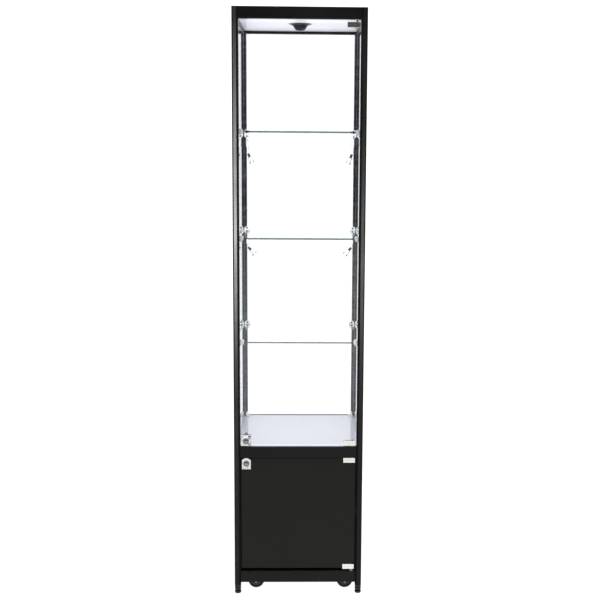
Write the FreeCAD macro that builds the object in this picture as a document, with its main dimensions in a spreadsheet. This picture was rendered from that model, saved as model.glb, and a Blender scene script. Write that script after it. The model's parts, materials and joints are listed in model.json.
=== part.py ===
import FreeCAD, Part
import os
import Sketcher

# A square tower display cabinet: four full-height posts joined by hollow rails, glazed sides
# and back, a glass door above a cupboard door, glass shelves, castors and levelling feet.
# Millimetres. X to the right, Y from front to back, Z up from the floor, origin under the centre.

Vector = FreeCAD.Vector
Rotation = FreeCAD.Rotation

doc = FreeCAD.newDocument("display_case")
sheet = doc.addObject("Spreadsheet::Sheet", "dims")
nodes = {}


class Size:
    """A length held with the spreadsheet expression that gives it."""

    def __init__(self, value, text=None):
        self.value = float(value)
        self.text = repr(self.value) if text is None else text

    def joined(self, sign, other, value):
        return Size(value, f"({self.text} {sign} {as_size(other).text})")

    def __add__(self, other):
        return self.joined("+", other, self.value + as_size(other).value)

    def __radd__(self, other):
        return as_size(other) + self

    def __sub__(self, other):
        return self.joined("-", other, self.value - as_size(other).value)

    def __rsub__(self, other):
        return as_size(other) - self

    def __mul__(self, other):
        return self.joined("*", other, self.value * as_size(other).value)

    def __rmul__(self, other):
        return as_size(other) * self

    def __truediv__(self, other):
        return self.joined("/", other, self.value / as_size(other).value)

    def __neg__(self):
        return 0 - self


def as_size(number):
    return number if isinstance(number, Size) else Size(number)


def given(alias, value, note):
    """A driving dimension: one row of the sheet."""
    given.row += 1
    sheet.set(f"A{given.row}", note)
    sheet.set(f"B{given.row}", repr(value))
    sheet.setAlias(f"B{given.row}", alias)
    return Size(value, f"dims.{alias}")


given.row = 0

# ---- driving dimensions -------------------------------------------------------------------

width = given("width", 400, "width and depth over the posts")
height = given("height", 1805, "floor to top, feet screwed out 5 mm")
post = given("post", 20, "side of a post")
post_round = given("post_round", 5, "radius on a post's outer corners")
rebate_wide = given("rebate_wide", 4, "width of the step beside the doors")
rebate_deep = given("rebate_deep", 3, "depth of that step")
wall = given("wall", 1.6, "wall of the extrusions")
rail_high = given("rail_high", 35, "height of a rail")
rail_deep = given("rail_deep", 16, "depth of a rail")
base_z = given("base_z", 38.5, "underside of the bottom rails")
deck_z = given("deck_z", 480, "top of the deck and its rails")
ceiling_z = given("ceiling_z", 1778, "underside of the ceiling panel")
post_bottom = given("post_bottom", 29, "lower end of the posts")
cap = given("cap", 2, "thickness of a post's top cap")
glass = given("glass", 5, "thickness of the panes and fixed panels")
inset = given("inset", 10, "outer face to the middle of a pane")
groove_wide = given("groove_wide", 6, "width of a glazing groove")
groove_deep = given("groove_deep", 6, "depth of a glazing groove")
seat = given("seat", 5, "how far a pane sits in its groove")
lip = given("lip", 1.5, "how far a gasket shows beyond its groove")
deck_thick = given("deck_thick", 16, "deck board")
base_thick = given("base_thick", 12, "bottom board")
sheet_thick = given("sheet_thick", 4, "ceiling and lid panels")
board_gap = given("board_gap", 0.3, "play round a board")
door_gap = given("door_gap", 1.5, "play between a door and a post")
pivot_x = given("pivot_x", 168, "door pivots, right of the centre")
pin_radius = given("pin_radius", 3, "door pivot pin")
fit = given("fit", 0.05, "radial play of a running fit")
panel_thick = given("panel_thick", 6, "cupboard door")
clamp_wide = given("clamp_wide", 36, "width of a hinge clamp")
clamp_high = given("clamp_high", 16, "height of a hinge clamp")
jaw = given("jaw", 3, "a clamp's jaw")
clamp_floor = given("clamp_floor", 2, "a clamp's web, past the door's edge")
lock_radius = given("lock_radius", 8, "lock barrel")
cam_thick = given("cam_thick", 2.5, "lock cam")
cam_wide = given("cam_wide", 9, "width of a lock cam")
shelf_top = given("shelf_top", 1447, "top of the upper shelf")
shelf_pitch = given("shelf_pitch", 320.5, "step from shelf to shelf")
shelf_wide = given("shelf_wide", 363, "width of a shelf")
shelf_deep = given("shelf_deep", 344, "depth of a shelf")
clip_wide = given("clip_wide", 17.5, "width of a shelf clip")
clip_edge = given("clip_edge", 186, "outer side of a shelf clip, from the centre")
slide_gap = given("slide_gap", 0.3, "gap between pieces that slide past each other")
light_y = given("light_y", -10, "ceiling light, front to back")
ball_radius = given("ball_radius", 22, "eyeball of the ceiling light")
trunnion = given("trunnion", 1.6, "how far the eyeball's pivots reach into the gimbal")
wheel_radius = given("wheel_radius", 25, "castor wheel")
wheel_wide = given("wheel_wide", 17, "castor wheel")
wheel_lift = given("wheel_lift", 1, "castors clear the floor while the case stands on its feet")
castor_x = given("castor_x", 141.5, "castor kingpins, from the centre")
castor_y = given("castor_y", 152, "castor kingpins, front to back")
trail = given("trail", 7.5, "kingpin to axle")
stem_radius = given("stem_radius", 4, "levelling foot stem")
stem_top = given("stem_top", 53, "upper end of a foot's stem, above the floor")
cap_plug = given("cap_plug", 8, "how far a cap's plug reaches into its post")
bracket_leg = given("bracket_leg", 15, "leg and width of an angle bracket")
bracket_leaf = given("bracket_leaf", 1.5, "thickness of an angle bracket")
clip_stand = given("clip_stand", 1.4, "front clips stand off the posts, clear of the door's edge")

half = width / 2
inner = half - post
pane = half - inset
top_rail_z = height - rail_high
deck_rail_z = deck_z - rail_high
base_top = base_z + rail_high


# ---- building blocks ----------------------------------------------------------------------

def bind(thing, **sizes):
    for name, size in sizes.items():
        thing.setExpression(name, as_size(size).text)


def place(thing, x, y, z, turn=Rotation()):
    thing.Placement = FreeCAD.Placement(Vector(), turn)
    for axis, size in zip("xyz", (x, y, z)):
        thing.setExpression(f"Placement.Base.{axis}", as_size(size).text)
    return thing


ALONG = {
    "X": Rotation(Vector(0, 1, 0), 90),
    "Y": Rotation(Vector(1, 0, 0), -90),
    "Z": Rotation(),
}
UPRIGHT = Rotation(Vector(1, 0, 0), 90)  # a profile's own x and y become X and Z


def unused(name):
    unused.count += 1
    return f"{name}_{unused.count}"


unused.count = 0


def block(x, y, z, length, deep, high):
    """A block given by its lowest corner and its sizes along X, Y and Z."""
    solid = doc.addObject("Part::Box", unused("block"))
    bind(solid, Length=length, Width=deep, Height=high)
    return place(solid, x, y, z)


def span(x0, x1, y0, y1, z0, z1):
    """A block given by its faces."""
    return block(x0, y0, z0, as_size(x1) - x0, as_size(y1) - y0, as_size(z1) - z0)


def rod(radius, length, x, y, z, along="Z"):
    """A cylinder that starts at a point and runs along an axis."""
    solid = doc.addObject("Part::Cylinder", unused("rod"))
    bind(solid, Radius=radius, Height=length)
    return place(solid, x, y, z, ALONG[along])


def fuse(*parts):
    solid = doc.addObject("Part::MultiFuse", unused("fuse"))
    solid.Shapes = list(parts)
    solid.Refine = True
    return solid


def cut(base, *tools):
    solid = doc.addObject("Part::Cut", unused("cut"))
    solid.Base = base
    solid.Tool = tools[0] if len(tools) == 1 else group(*tools)
    solid.Refine = True
    return solid


def common(first, second):
    solid = doc.addObject("Part::Common", unused("common"))
    solid.Base = first
    solid.Tool = second
    return solid


def group(*parts):
    gathered = doc.addObject("Part::Compound", unused("group"))
    gathered.Links = list(parts)
    return gathered


def mirror(source, *axes):
    """A mirror image across the planes X = 0 or Y = 0."""
    for axis in axes:
        image = doc.addObject("Part::Mirroring", unused("mirror"))
        image.Source = source
        image.Normal = Vector(1, 0, 0) if axis == "X" else Vector(0, 1, 0)
        source = image
    return source


def rounded(source, radius, chosen):
    """Fillets the edges of a Part solid that a test picks."""
    doc.recompute()
    edges = source.Shape.Edges
    solid = doc.addObject("Part::Fillet", unused("rounded"))
    solid.Base = source
    solid.Edges = [(i + 1, radius, radius) for i, edge in enumerate(edges) if chosen(edge)]
    return solid


def node(name, solid):
    """Registers a finished sub-part under its own name."""
    solid.Label = name
    nodes[name] = solid
    return solid


def origin_plane(body, role):
    return next(f for f in body.Origin.OriginFeatures if f.Role == role)


def pin_point(sketch, geometry, position, x, y):
    """Fixes a sketch point by two dimensions from the origin, each bound to the sheet."""
    for kind, size in (("DistanceX", x), ("DistanceY", y)):
        size = as_size(size)
        rule = Sketcher.Constraint(kind, -1, 1, geometry, position, size.value)
        index = sketch.addConstraint(rule)
        sketch.setExpression(f"Constraints[{index}]", size.text)


def add_outline(sketch, points):
    """A closed outline of straight sides through the points."""
    first = sketch.GeometryCount
    corners = [Vector(as_size(x).value, as_size(y).value, 0) for x, y in points]
    count = len(corners)
    for i in range(count):
        sketch.addGeometry(Part.LineSegment(corners[i], corners[(i + 1) % count]), False)
    for i in range(count):
        following = first + (i + 1) % count
        sketch.addConstraint(Sketcher.Constraint("Coincident", first + i, 2, following, 1))
    for i, (x, y) in enumerate(points):
        pin_point(sketch, first + i, 1, x, y)


def new_body(name, role, *outlines):
    """A body with one sketch on an origin plane that holds the outlines."""
    body = doc.addObject("PartDesign::Body", unused(name))
    sketch = body.newObject("Sketcher::SketchObject", unused("profile"))
    sketch.AttachmentSupport = [(origin_plane(body, role), "")]
    sketch.MapMode = "FlatFace"
    for points in outlines:
        add_outline(sketch, points)
    return body, sketch


def extruded(name, length, *outlines):
    """Outlines drawn flat and padded along the body's own Z; the inner ones are hollows."""
    body, sketch = new_body(name, "XY_Plane", *outlines)
    pad = body.newObject("PartDesign::Pad", unused("pad"))
    pad.Profile = sketch
    bind(pad, Length=length)
    return body


def turned(name, *outlines):
    """Outlines of radius and height, revolved about the body's own Z."""
    body, sketch = new_body(name, "XZ_Plane", *outlines)
    revolution = body.newObject("PartDesign::Revolution", unused("revolution"))
    revolution.Profile = sketch
    revolution.ReferenceAxis = (sketch, ["V_Axis"])
    revolution.Angle = 360
    return body


def filleted(body, radius, chosen):
    """Fillets the edges of the body's last feature that a test picks."""
    doc.recompute()
    base = body.Tip
    names = [f"Edge{i + 1}" for i, edge in enumerate(base.Shape.Edges) if chosen(edge)]
    fillet = body.newObject("PartDesign::Fillet", unused("fillet"))
    fillet.Base = (base, names)
    bind(fillet, Radius=radius)
    return body


def rectangle(x0, x1, y0, y1):
    return [(x0, y0), (x1, y0), (x1, y1), (x0, y1)]


def upright_at(*places):
    """A test for edges along Z that stand at one of the given places."""
    def chosen(edge):
        box = edge.BoundBox
        if box.ZLength < 1 or box.XLength > 0.01 or box.YLength > 0.01:
            return False
        return any(abs(box.XMin - x) < 0.01 and abs(box.YMin - y) < 0.01 for x, y in places)
    return chosen


# ---- frame --------------------------------------------------------------------------------

def front_post():
    """Left front post: door step on its inner front edge, glazing groove in its back."""
    left, right = -half, -inner
    step = right - rebate_wide
    slot_left = -pane - groove_wide / 2
    slot_right = -pane + groove_wide / 2
    floor = -inner - groove_deep
    outline = [
        (left, -half), (step, -half), (step, -half + rebate_deep), (right, -half + rebate_deep),
        (right, -inner), (slot_right, -inner), (slot_right, floor), (slot_left, floor),
        (slot_left, -inner), (left, -inner),
    ]
    hollow = rectangle(left + wall, step - wall, -half + wall, floor - wall)
    body = extruded("front_post", height - cap - post_bottom, outline, hollow)
    place(body, 0, 0, post_bottom)
    filleted(body, post_round, upright_at((left.value, -half.value)))
    filleted(body, rebate_deep - 0.2, upright_at((step.value, -half.value)))
    core = upright_at((left.value + wall.value, -half.value + wall.value))
    return filleted(body, post_round - wall, core)


def rear_post():
    """Left rear post: one groove for the side pane and one for the rear pane."""
    left, right = -half, -inner
    front, back = inner, half
    side0, side1 = -pane - groove_wide / 2, -pane + groove_wide / 2
    rear0, rear1 = pane - groove_wide / 2, pane + groove_wide / 2
    outline = [
        (left, front), (side0, front), (side0, front + groove_deep), (side1, front + groove_deep),
        (side1, front), (right, front), (right, rear0), (right - groove_deep, rear0),
        (right - groove_deep, rear1), (right, rear1), (right, back), (left, back),
    ]
    hollow = rectangle(left + wall, right - groove_deep - wall, front + groove_deep + wall, back - wall)
    body = extruded("rear_post", height - cap - post_bottom, outline, hollow)
    place(body, 0, 0, post_bottom)
    filleted(body, post_round, upright_at((left.value, back.value)))
    corner = upright_at((left.value + wall.value, back.value - wall.value))
    return filleted(body, post_round - wall, corner)


def drilled_for_foot(body, y):
    """The lower end of a post is drilled for the stem of its levelling foot."""
    drill = rod(stem_radius + 0.4, 36, -pane, y, post_bottom - 1)
    return cut(body, drill)


front_left = drilled_for_foot(front_post(), -pane)
rear_left = drilled_for_foot(rear_post(), pane)
node("post_front_left", front_left)
node("post_front_right", mirror(front_left, "X"))
node("post_rear_left", rear_left)
node("post_rear_right", mirror(rear_left, "X"))

SIDES = ("front", "right", "rear", "left")


def side_place(side, reach, start):
    """The corner and turn that lay a rail's profile along one side of the case.

    reach is the outer face's distance from the centre, start is where the rail begins.
    """
    quarter = SIDES.index(side)
    corner = [(-start, -reach), (reach, -start), (start, reach), (-reach, start)][quarter]
    turn = Rotation(Vector(0, 0, 1), 90 * quarter) * Rotation(Vector(1, 1, 1), 120)
    return corner, turn


def rail(side, z, groove_above=False, groove_below=False):
    """A hollow rail between two posts, with a glazing groove in its top, underside or both."""
    slot0, slot1 = inset - groove_wide / 2, inset + groove_wide / 2
    outline = [(0, 0)]
    low, high = as_size(wall), rail_high - wall
    if groove_below:
        outline += [(slot0, 0), (slot0, groove_deep), (slot1, groove_deep), (slot1, 0)]
        low = groove_deep + wall
    outline += [(rail_deep, 0), (rail_deep, rail_high)]
    if groove_above:
        floor = rail_high - groove_deep
        outline += [(slot1, rail_high), (slot1, floor), (slot0, floor), (slot0, rail_high)]
        high = floor - wall
    outline += [(0, rail_high)]
    hollow = rectangle(wall, rail_deep - wall, low, high)
    body = extruded("rail", 2 * inner, outline, hollow)
    corner, turn = side_place(side, half, inner)
    return place(body, corner[0], corner[1], z, turn)


bush_radius = given("bush_radius", 5, "outside of a pivot bush")
bush_long = given("bush_long", 10, "length of a pivot bush")
bush_rim = given("bush_rim", 0.8, "thickness of a pivot bush's rim")


def bored(rail_body, z, up):
    """A front rail bored for the pivot bush in its top (up) or its underside."""
    start = z - bush_long if up else z
    return cut(rail_body, rod(bush_radius, bush_long, pivot_x, -pane, start))


node("top_rail_front", bored(rail("front", top_rail_z), top_rail_z, False))
bored_above = bored(rail("front", deck_rail_z), deck_z, True)
node("deck_rail_front", bored(bored_above, deck_rail_z, False))
node("base_rail_front", bored(rail("front", base_z), base_top, True))
node("rear_rails", group(
    rail("rear", top_rail_z, groove_below=True),
    rail("rear", deck_rail_z, groove_above=True, groove_below=True),
    rail("rear", base_z, groove_above=True),
))
side_rails = []
for side in ("left", "right"):
    side_rails.append(rail(side, top_rail_z, groove_below=True))
    side_rails.append(rail(side, deck_rail_z, groove_above=True, groove_below=True))
    side_rails.append(rail(side, base_z, groove_above=True))
node("side_rails", group(*side_rails))


def pivot_bush(z, up):
    """A plastic bush pressed into a rail, its rim on the rail's face."""
    start = z - bush_long if up else z
    rim = z if up else z - bush_rim
    shell = fuse(rod(bush_radius, bush_long, pivot_x, -pane, start),
                 rod(bush_radius + 1.5, bush_rim, pivot_x, -pane, rim))
    return cut(shell, rod(pin_radius + fit, bush_long + 2, pivot_x, -pane, start - 1))


node("pivot_bushes", group(pivot_bush(top_rail_z, False), pivot_bush(deck_z, True),
                           pivot_bush(deck_rail_z, False), pivot_bush(base_top, True)))


def post_cap():
    """Left front cap: a plate with the post's round corners and a plug inside the post."""
    outline = rectangle(-half, -inner, -half, -inner)
    plate = extruded("cap", cap, outline)
    place(plate, 0, 0, height - cap)
    filleted(plate, post_round - 1, upright_at((-half.value, -half.value)))
    near, far = -half + 2 * wall, -inner - groove_deep - 2 * wall
    plug = span(near, far, near, far, height - cap - cap_plug, height - cap)
    return fuse(plate, plug)


cap_front = post_cap()
node("post_caps", group(cap_front, mirror(cap_front, "X"), mirror(cap_front, "Y"),
                        mirror(cap_front, "X", "Y")))

insert_high = given("insert_high", 8, "threaded block under a post")


def foot_block():
    """Threaded block closing the lower end of the left front post."""
    edge = 0.4
    z = post_bottom - insert_high
    plate = span(-half + edge, -inner - edge, -half + edge, -inner - edge, z, post_bottom - 1)
    neck = span(-half + 2, -inner - 2, -half + 2, -inner - 2, post_bottom - 1, post_bottom)
    smooth = rounded(plate, 3.5, upright_at((-half.value + edge, -half.value + edge)))
    return cut(fuse(smooth, neck), rod(stem_radius + fit, 20, -pane, -pane, z - 1))


block_front = foot_block()
node("foot_blocks", group(block_front, mirror(block_front, "X"), mirror(block_front, "Y"),
                          mirror(block_front, "X", "Y")))


# ---- panels -------------------------------------------------------------------------------

def board(z, thick):
    """A board between the rails, its corners notched round the posts."""
    reach = half - rail_deep - board_gap
    short = inner - board_gap
    return fuse(span(-reach, reach, -short, short, z, z + thick),
                span(-short, short, -reach, reach, z, z + thick))


ring_neck = given("ring_neck", 30, "neck of the ceiling light's ring")

node("lid_panel", board(height - cap - sheet_thick, sheet_thick))
node("ceiling_panel", cut(board(ceiling_z, sheet_thick),
                          rod(ring_neck + 0.2, 10, 0, light_y, ceiling_z - 3)))
node("deck_panel", board(deck_z - deck_thick, deck_thick))
node("base_panel", board(base_top - base_thick, base_thick))

grommet_x = given("grommet_x", 120, "cable grommet, left of the centre as seen from behind")
grommet_z = given("grommet_z", 130, "cable grommet, above the floor")
grommet_bore = given("grommet_bore", 11, "radius of the cable hole")
grommet_body = given("grommet_body", 13.5, "radius of the grommet in the back panel")


def fixed_pane(side, z0, z1):
    """A pane or panel held in the grooves of two posts and two rails."""
    reach = inner + seat
    low, high = z0 - seat, z1 + seat
    if side == "rear":
        return span(-reach, reach, pane - glass / 2, pane + glass / 2, low, high)
    x = -pane if side == "left" else pane
    return span(x - glass / 2, x + glass / 2, -reach, reach, low, high)


def gasket(side, z0, z1, pane_solid):
    """The rubber frame round a pane: it fills the groove and shows as a narrow lip."""
    deep, reach, thick = groove_deep, inner + groove_deep, groove_wide / 2
    low, high = z0 - deep, z1 + deep
    window = inner - lip
    if side == "rear":
        frame = span(-reach, reach, pane - thick, pane + thick, low, high)
        opening = span(-window, window, pane - 10, pane + 10, z0 + lip, z1 - lip)
    else:
        x = -pane if side == "left" else pane
        frame = span(x - thick, x + thick, -reach, reach, low, high)
        opening = span(x - 10, x + 10, -window, window, z0 + lip, z1 - lip)
    return cut(frame, opening, pane_solid)


panes = {side: fixed_pane(side, deck_z, top_rail_z) for side in ("left", "right", "rear")}
panels = {side: fixed_pane(side, base_top, deck_rail_z) for side in ("left", "right", "rear")}
gaskets = [gasket(side, deck_z, top_rail_z, panes[side]) for side in panes]
gaskets += [gasket(side, base_top, deck_rail_z, panels[side]) for side in panels]
node("side_glass_left", panes["left"])
node("side_glass_right", panes["right"])
node("rear_glass", panes["rear"])
node("cupboard_sides", group(panels["left"], panels["right"]))
node("cupboard_back", cut(panels["rear"], rod(grommet_body, 20, grommet_x, pane - 10, grommet_z, "Y")))
node("glazing_gaskets", group(*gaskets))


def cable_grommet():
    """A two-flanged rubber ring in the cupboard's back, with the cable hole."""
    flange = 2
    ring = fuse(rod(grommet_body, glass, grommet_x, pane - glass / 2, grommet_z, "Y"),
                rod(grommet_body + 3.5, flange, grommet_x, pane + glass / 2, grommet_z, "Y"),
                rod(grommet_body + 3.5, flange, grommet_x, pane - glass / 2 - flange, grommet_z, "Y"))
    return cut(ring, rod(grommet_bore, 20, grommet_x, pane - 10, grommet_z, "Y"))


node("cable_grommet", cable_grommet())


def bracket(side, z, up):
    """An angle bracket that ties a board to the middle of one rail, above or below it."""
    foot_z = z if up else z - bracket_leaf
    low = z if up else z - bracket_leg
    reach = half - rail_deep
    middle = bracket_leg / 2
    flat = (-middle, middle, reach - bracket_leg, reach, foot_z, foot_z + bracket_leaf)
    tall = (-middle, middle, reach - bracket_leaf, reach, low, low + bracket_leg)
    parts = []
    for x0, x1, y0, y1, z0, z1 in (flat, tall):
        if side == "front":
            y0, y1 = -y1, -y0
        if side in ("left", "right"):
            x0, x1, y0, y1 = y0, y1, x0, x1
        if side == "left":
            x0, x1 = -x1, -x0
        parts.append(span(x0, x1, y0, y1, z0, z1))
    return fuse(*parts)


brackets = []
for side in SIDES:
    brackets.append(bracket(side, ceiling_z + sheet_thick, True))
    brackets.append(bracket(side, deck_z - deck_thick, False))
    brackets.append(bracket(side, base_top - base_thick, False))
node("board_brackets", group(*brackets))


# ---- doors --------------------------------------------------------------------------------

door_reach = inner - door_gap
glass_low = deck_z + 4
glass_high = top_rail_z - 8.5
panel_low = base_top + 8.5
panel_high = deck_rail_z - 3
pivot_pin = given("pivot_pin", 11, "pivot pin beyond its clamp")
wide_gap_pin = given("wide_gap_pin", 15, "the same where the gap over a door is wider")
glass_lock_x, glass_lock_z = Size(-162.5), deck_z + 17
panel_lock_x, panel_lock_z = Size(-161.6), deck_rail_z - 20


def door_leaf(thick, low, high):
    return span(-door_reach, door_reach, -pane - thick / 2, -pane + thick / 2, low, high)


def hinge_clamp(leaf, thick, edge, pin_long, up):
    """A U-shaped clamp on the door's edge at its pivot corner, with the pivot pin in its web."""
    outer = pivot_x + 8
    deep = thick / 2 + jaw
    web = edge + clamp_floor if up else edge - clamp_floor
    z0, z1 = (web - clamp_high, web) if up else (web, web + clamp_high)
    shell = span(outer - clamp_wide, outer, -pane - deep, -pane + deep, z0, z1)
    soft = rounded(shell, 0.8, lambda edge: edge.BoundBox.XLength > 5)
    pin = rod(pin_radius, pin_long, pivot_x, -pane, web if up else web - pin_long)
    return fuse(cut(soft, leaf), pin)


glass_leaf = door_leaf(glass, glass_low, glass_high)
panel_leaf = door_leaf(panel_thick, panel_low, panel_high)
node("glass_door_hinges", group(hinge_clamp(glass_leaf, glass, glass_high, wide_gap_pin, True),
                                hinge_clamp(glass_leaf, glass, glass_low, pivot_pin, False)))
node("cupboard_door_hinges", group(hinge_clamp(panel_leaf, panel_thick, panel_high, pivot_pin, True),
                                   hinge_clamp(panel_leaf, panel_thick, panel_low, wide_gap_pin, False)))

boss = lock_radius + 2.5


def lock_hole(x, z, radius):
    return rod(radius, 40, x, -half - 5, z, "Y")


node("glass_door_pane", cut(glass_leaf, lock_hole(glass_lock_x, glass_lock_z, boss + 0.3)))
node("cupboard_door_panel", cut(panel_leaf, lock_hole(panel_lock_x, panel_lock_z, boss + 0.3)))


def glass_lock():
    """A square two-plate lock that grips the pane's lower corner."""
    x0, x1 = Size(-178), Size(-147)
    z0, z1 = deck_z + 1.8, deck_z + 36.5
    front, face, back = -half + 1.5, -pane - glass / 2, -pane + glass / 2
    housing = rounded(span(x0, x1, front, face, z0, z1), 1.5, in_plane_y(front.value))
    plate = span(x0, x1, back, back + jaw, z0, z1)
    web = span(x0, x1, face, back, z0, glass_low)
    hub = rod(boss, glass, glass_lock_x, face, glass_lock_z, "Y")
    return cut(fuse(housing, plate, web, hub), lock_hole(glass_lock_x, glass_lock_z, lock_radius + fit))


def in_plane_y(y):
    """A test for edges that lie in the plane Y = y."""
    def chosen(edge):
        box = edge.BoundBox
        return abs(box.YMin - y) < 0.01 and abs(box.YMax - y) < 0.01
    return chosen


def panel_lock():
    """An arched escutcheon on the cupboard door, with its nut behind the panel."""
    wide, high, rise = Size(28), Size(37), Size(7)
    x0, z0 = panel_lock_x - wide / 2, panel_lock_z - 18
    front, face, back = -half + 1.5, -pane - panel_thick / 2, -pane + panel_thick / 2
    arch = (wide * wide / 4 + rise * rise) / (2 * rise)
    plate = span(x0, x0 + wide, front, face, z0, z0 + high)
    dome = rod(arch, face - front, panel_lock_x, front, z0 + high - arch, "Y")
    lower = span(x0, x0 + wide, front, face, z0, z0 + high - rise)
    outline = fuse(common(plate, dome), lower)
    cover = rounded(outline, 1.2, in_plane_y(front.value))
    shaft = rod(boss, panel_thick, panel_lock_x, face, panel_lock_z, "Y")
    nut = doc.addObject("Part::Prism", unused("nut"))
    nut.Polygon = 6
    bind(nut, Circumradius=boss + 4, Height=3)
    place(nut, panel_lock_x, back, panel_lock_z, ALONG["Y"])
    body = fuse(cover, shaft, nut)
    return cut(body, lock_hole(panel_lock_x, panel_lock_z, lock_radius + fit))


def lock_barrel(x, z, cam_front, cam_long, points_up):
    """Barrel with a key slot in its face and a round-ended cam on its inner end."""
    front = -half + 0.8
    shank_end = cam_front - 1.5
    shank = rod(lock_radius, shank_end - front, x, front, z, "Y")
    tail = rod(5, cam_front + cam_thick - shank_end, x, shank_end, z, "Y")
    side = cam_wide / 2
    straight = cam_long - side
    if points_up:
        bar = span(x - side, x + side, cam_front, cam_front + cam_thick, z, z + straight)
        tip = rod(side, cam_thick, x, cam_front, z + straight, "Y")
    else:
        bar = span(x, x + straight, cam_front, cam_front + cam_thick, z - side, z + side)
        tip = rod(side, cam_thick, x + straight, cam_front, z, "Y")
    slot = span(x - 0.9, x + 0.9, front - 1, front + 3, z - 4.5, z + 4.5)
    return cut(fuse(shank, tail, bar, tip), slot)


node("glass_door_lock", glass_lock())
node("cupboard_door_lock", panel_lock())
node("glass_door_lock_barrel", lock_barrel(glass_lock_x, glass_lock_z, -inner + 1.5, Size(23), True))
rail_back = -half + rail_deep
node("cupboard_door_lock_barrel", lock_barrel(panel_lock_x, panel_lock_z, rail_back + 1.5, Size(30), False))


# ---- shelves ------------------------------------------------------------------------------

def stadium(x, z, wide, high, y0, deep):
    """A block with half-round top and bottom, its outline seen from the front."""
    radius = wide / 2
    offset = (high - wide) / 2
    parts = [rod(radius, deep, x, y0, z + offset, "Y")]
    if high.value > wide.value:
        parts.append(rod(radius, deep, x, y0, z - offset, "Y"))
        parts.append(block(x - radius, y0, z - offset, wide, deep, 2 * offset))
    return fuse(*parts) if len(parts) > 1 else parts[0]


def shelf_clip(shelf, z, front):
    """Right-hand clip: it grips the shelf's corner and bears on the post beside it."""
    x = clip_edge - clip_wide / 2
    high = Size(17.5) if front else Size(27)
    deep = Size(20) if front else Size(24)
    y0 = -inner + clip_stand if front else inner - slide_gap - deep
    body = stadium(x, z, clip_wide, high, y0, deep)
    socket_y = y0 + deep - 4 if front else y0 - 1
    reach = high / 2 - 5
    sockets = [rod(2.2, 5, x, socket_y, z + reach * way, "Y") for way in (1, -1)]
    return cut(body, shelf, *sockets)


for number in (1, 2, 3):
    top = shelf_top - (number - 1) * shelf_pitch
    shelf = span(-shelf_wide / 2, shelf_wide / 2, -shelf_deep / 2, shelf_deep / 2, top - glass, top)
    clips = []
    for front in (True, False):
        clip = shelf_clip(shelf, top - glass / 2, front)
        clips += [clip, mirror(clip, "X")]
    node(f"shelf_{number}", shelf)
    node(f"shelf_clips_{number}", group(*clips))


# ---- ceiling light ------------------------------------------------------------------------

ball_z = ceiling_z - 1
ring_bore = ring_neck - 3.2
lift = 2.5  # thickness of the flange under the ceiling


def at_light(body, z):
    return place(body, 0, light_y, z)


ring = turned("ring", [
    (ring_bore, -lift), (35.5, -0.8), (35.5, 0), (ring_neck, 0), (ring_neck, 10),
    (ring_neck - 1.2, 10), (ring_neck - 1.2, 2.7), (ring_bore, 2.7),
])
node("light_ring", at_light(ring, ceiling_z))

gimbal = turned("gimbal", [
    (ball_radius + 0.4, -4.5), (ring_bore - slide_gap, -4.5), (ring_bore - slide_gap, 3),
    (ring_neck - 1.5, 3), (ring_neck - 1.5, 6), (ball_radius + 0.4, 6),
])
pivot_holes = rod(1.5 + fit, 80, -40, light_y, ball_z, "X")
node("light_gimbal", cut(at_light(gimbal, ceiling_z), pivot_holes))

ball = doc.addObject("Part::Sphere", unused("ball"))
bind(ball, Radius=ball_radius)
place(ball, 0, light_y, ball_z)
zone = rod(ball_radius + 1, 26, 0, light_y, ball_z - 17)
mouth = rod(12.5, 30, 0, light_y, ball_z - 26)
trunnions = rod(1.5, 2 * (ball_radius + trunnion), -ball_radius - trunnion, light_y, ball_z, "X")
housing = cut(common(ball, zone), mouth)
spindle = cut(trunnions, rod(20, 20, 0, light_y, ball_z - 10))
node("light_eyeball", fuse(housing, spindle))
node("light_lens", rod(12.5, 2, 0, light_y, ball_z - 9))


# ---- side lights --------------------------------------------------------------------------

spot_x = given("spot_x", 171, "side light pivots, from the centre")
spot_y = given("spot_y", 165, "side light pivots, front to back")
spot_radius = given("spot_radius", 8.5, "side light head")
spot_long = given("spot_long", 24, "side light head")
# pivot height, bottom of the clip on the post, and lean of the head from straight down
SPOTS = {"upper": (1375, 1402, 22), "lower": (1064, 1080, 42)}


def spot_stem(pivot_z, clip_z):
    """Right-hand stem: a clip on the rear post, a short stalk and the eye of the joint."""
    clip = span(spot_x - 5, spot_x + 9, spot_y - 4, inner, clip_z, clip_z + 26)
    soft = rounded(clip, 2, lambda edge: edge.BoundBox.ZLength > 20)
    stalk = rod(1.9, clip_z - pivot_z, spot_x, spot_y, pivot_z)
    eye = rod(4.5, 4, spot_x, spot_y - 2, pivot_z, "Y")
    return cut(fuse(soft, stalk, eye), rod(1.5 + fit, 20, spot_x, spot_y - 10, pivot_z, "Y"))


def spot_head(side, pivot_z, lean):
    """A lamp head that hangs from a cross pin between two ears and leans towards the middle."""
    parts = [rod(1.5, 9, 0, -4.5, 0, "Y")]
    for y in (-4.5, 2.3):
        parts.append(rod(4, 2.2, 0, y, 0, "Y"))
        parts.append(block(-4, y, -9, 8, 2.2, 9))
    barrel = turned("spot", [
        (0, -8), (5, -8), (spot_radius - 1, -10.5), (spot_radius - 1, -13), (spot_radius - 2, -13.6),
        (spot_radius - 2, -15), (spot_radius - 1, -15.6), (spot_radius - 1, -18),
        (spot_radius - 2, -18.6), (spot_radius - 2, -20), (spot_radius, -21),
        (spot_radius, -8 - spot_long), (spot_radius - 1.5, -8 - spot_long),
        (spot_radius - 1.5, -5 - spot_long), (0, -5 - spot_long),
    ])
    head = fuse(*parts, barrel)
    sign = -1 if side == "left" else 1
    return place(head, sign * spot_x, spot_y, pivot_z, Rotation(Vector(0, 1, 0), sign * lean))


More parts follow.
